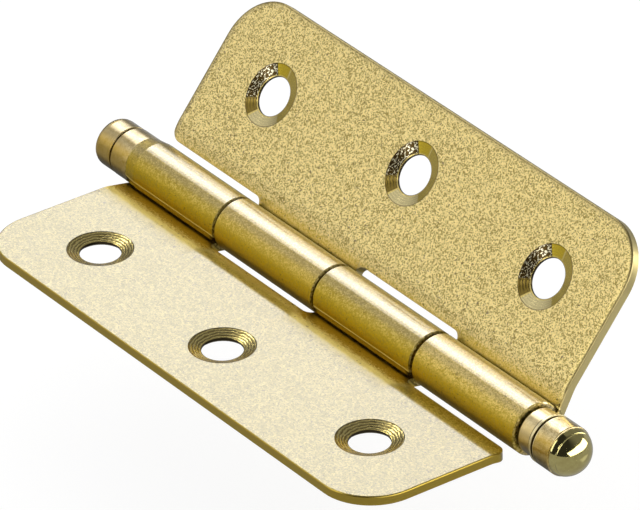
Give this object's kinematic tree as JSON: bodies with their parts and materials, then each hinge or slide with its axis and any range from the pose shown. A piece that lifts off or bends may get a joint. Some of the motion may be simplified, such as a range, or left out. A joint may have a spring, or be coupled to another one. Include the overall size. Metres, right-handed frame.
{
  "type": "decorative butt hinge",
  "caption": "Butt hinge with two rounded sheet leaves, rolled knuckles and a pin with a ball tip at one end and a flat cap at the other.",
  "frame": {"origin": "axis of the fixed leaf's middle screw hole, in the plane of that leaf's back", "axes": "+X along the pin towards the ball tip, +Y from the fixed leaf's hole towards the pin, +Z out of that leaf's countersunk face"},
  "size_m": [0.0958, 0.0444, 0.0229],
  "materials": {
    "plated_sheet": "satin, fine sandblast grain",
    "plated_turning": "polished"
  },
  "bodies": {
    "fixed": {"fixed_leaf": "plated_sheet", "hinge_pin": "plated_turning", "end_finial": "plated_turning"},
    "moving": {"moving_leaf": "plated_sheet"}
  },
  "joints": [
    {"name": "leaf_turn", "type": "hinge", "parent": "fixed", "child": "moving", "pos_m": [0, 0.0171, 0.00235], "axis": [1, 0, 0], "range_deg": [-152, 134]}
  ]
}
